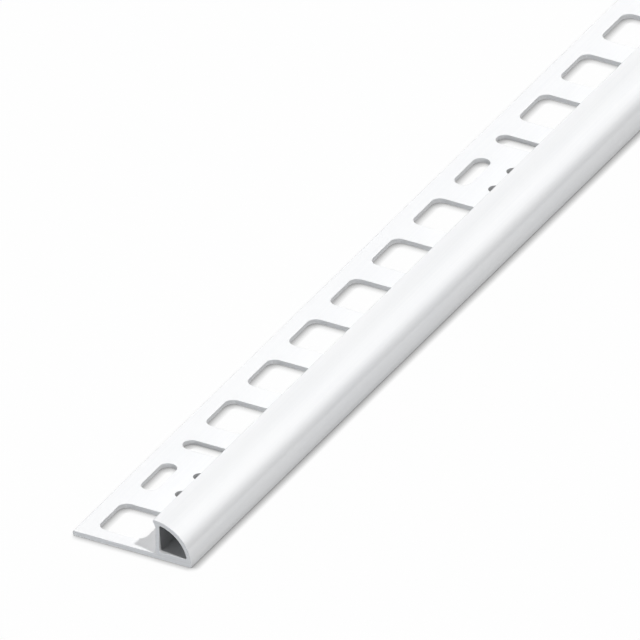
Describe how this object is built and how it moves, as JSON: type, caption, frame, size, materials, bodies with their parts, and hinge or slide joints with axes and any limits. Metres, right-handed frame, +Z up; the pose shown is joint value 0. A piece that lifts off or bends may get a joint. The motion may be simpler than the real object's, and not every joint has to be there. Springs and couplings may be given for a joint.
{
  "type": "tile edge trim",
  "caption": "White quarter-round tile edge trim: perforated anchoring leg, upright web with a small lip and a hollow rounded nose.",
  "frame": {"origin": "middle of the bar's length and width, on its flat underside", "axes": "+Y along the bar, +X across it from the leg's free edge to the toe of the nose, +Z up from the underside"},
  "size_m": [0.0305, 1, 0.01],
  "materials": {
    "white_pvc": "satin gloss, as extruded"
  },
  "bodies": {
    "root": {"tile_edge_trim": "white_pvc"}
  },
  "joints": []
}
